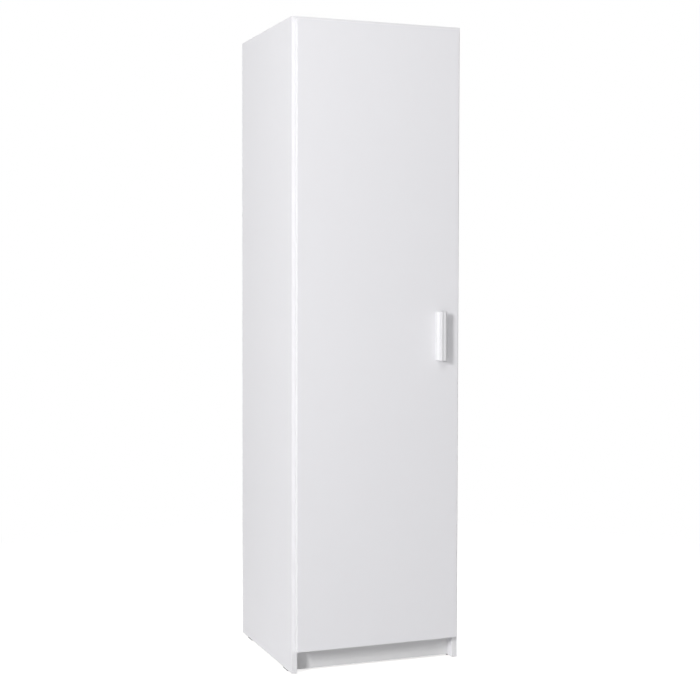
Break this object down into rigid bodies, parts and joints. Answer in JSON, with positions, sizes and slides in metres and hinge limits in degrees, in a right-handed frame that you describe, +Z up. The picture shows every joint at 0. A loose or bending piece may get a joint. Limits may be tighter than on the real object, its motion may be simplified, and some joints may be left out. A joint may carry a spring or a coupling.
{
  "type": "wardrobe",
  "caption": "Tall narrow wardrobe with a hinged door, pull handle, hat shelf, hanging rail and recessed plinth, built from faced boards with knock-down fittings.",
  "frame": {"origin": "on the floor under the middle of the overall box, handle included", "axes": "+X across the front to the handle side, +Y from the door to the back, +Z up"},
  "size_m": [0.5, 0.522, 1.8],
  "materials": {
    "white_board": "white melamine foil on particleboard, satin",
    "back_board": "white-lacquered hardboard",
    "handle_metal": "satin anodised extrusion",
    "hinge_steel": "nickel-plated pressed steel",
    "cast_zinc": "plain zinc casting",
    "screw_steel": "zinc-plated steel",
    "bracket_steel": "zinc-plated sheet steel",
    "rail_chrome": "chrome-plated",
    "beech": "plain beech",
    "white_plastic": "moulded",
    "clear_plastic": "soft clear pad",
    "dark_plastic": "moulded"
  },
  "bodies": {
    "carcass": {"side_panel_left": "white_board", "side_panel_right": "white_board", "top_panel": "white_board", "bottom_panel": "white_board", "plinth": "white_board", "hat_shelf": "white_board", "back_panel": "back_board", "hinge_arms": "hinge_steel", "hinge_plates": "cast_zinc", "cam_locks": "cast_zinc", "hinge_arm_screws": "screw_steel", "hinge_plate_screws": "screw_steel", "rail_socket_screws": "screw_steel", "cam_bolts": "screw_steel", "plinth_bracket_screws": "screw_steel", "wall_bracket_screws": "screw_steel", "back_panel_nails": "screw_steel", "glide_nails": "screw_steel", "shelf_pins": "screw_steel", "plinth_brackets": "bracket_steel", "wall_bracket": "bracket_steel", "hanging_rail": "rail_chrome", "rail_sockets": "rail_chrome", "dowels": "beech", "cam_caps": "white_plastic", "glides": "dark_plastic"},
    "door": {"door_panel": "white_board", "handle": "handle_metal", "handle_screws": "screw_steel", "door_bumpers": "clear_plastic", "hinge_cups": "hinge_steel", "hinge_cup_screws": "screw_steel", "hinge_pins": "hinge_steel"}
  },
  "joints": [
    {"name": "door_hinge", "type": "hinge", "parent": "carcass", "child": "door", "pos_m": [-0.2334, -0.2323, 0.9285], "axis": [0, 0, -1], "range_deg": [0, 95]}
  ]
}
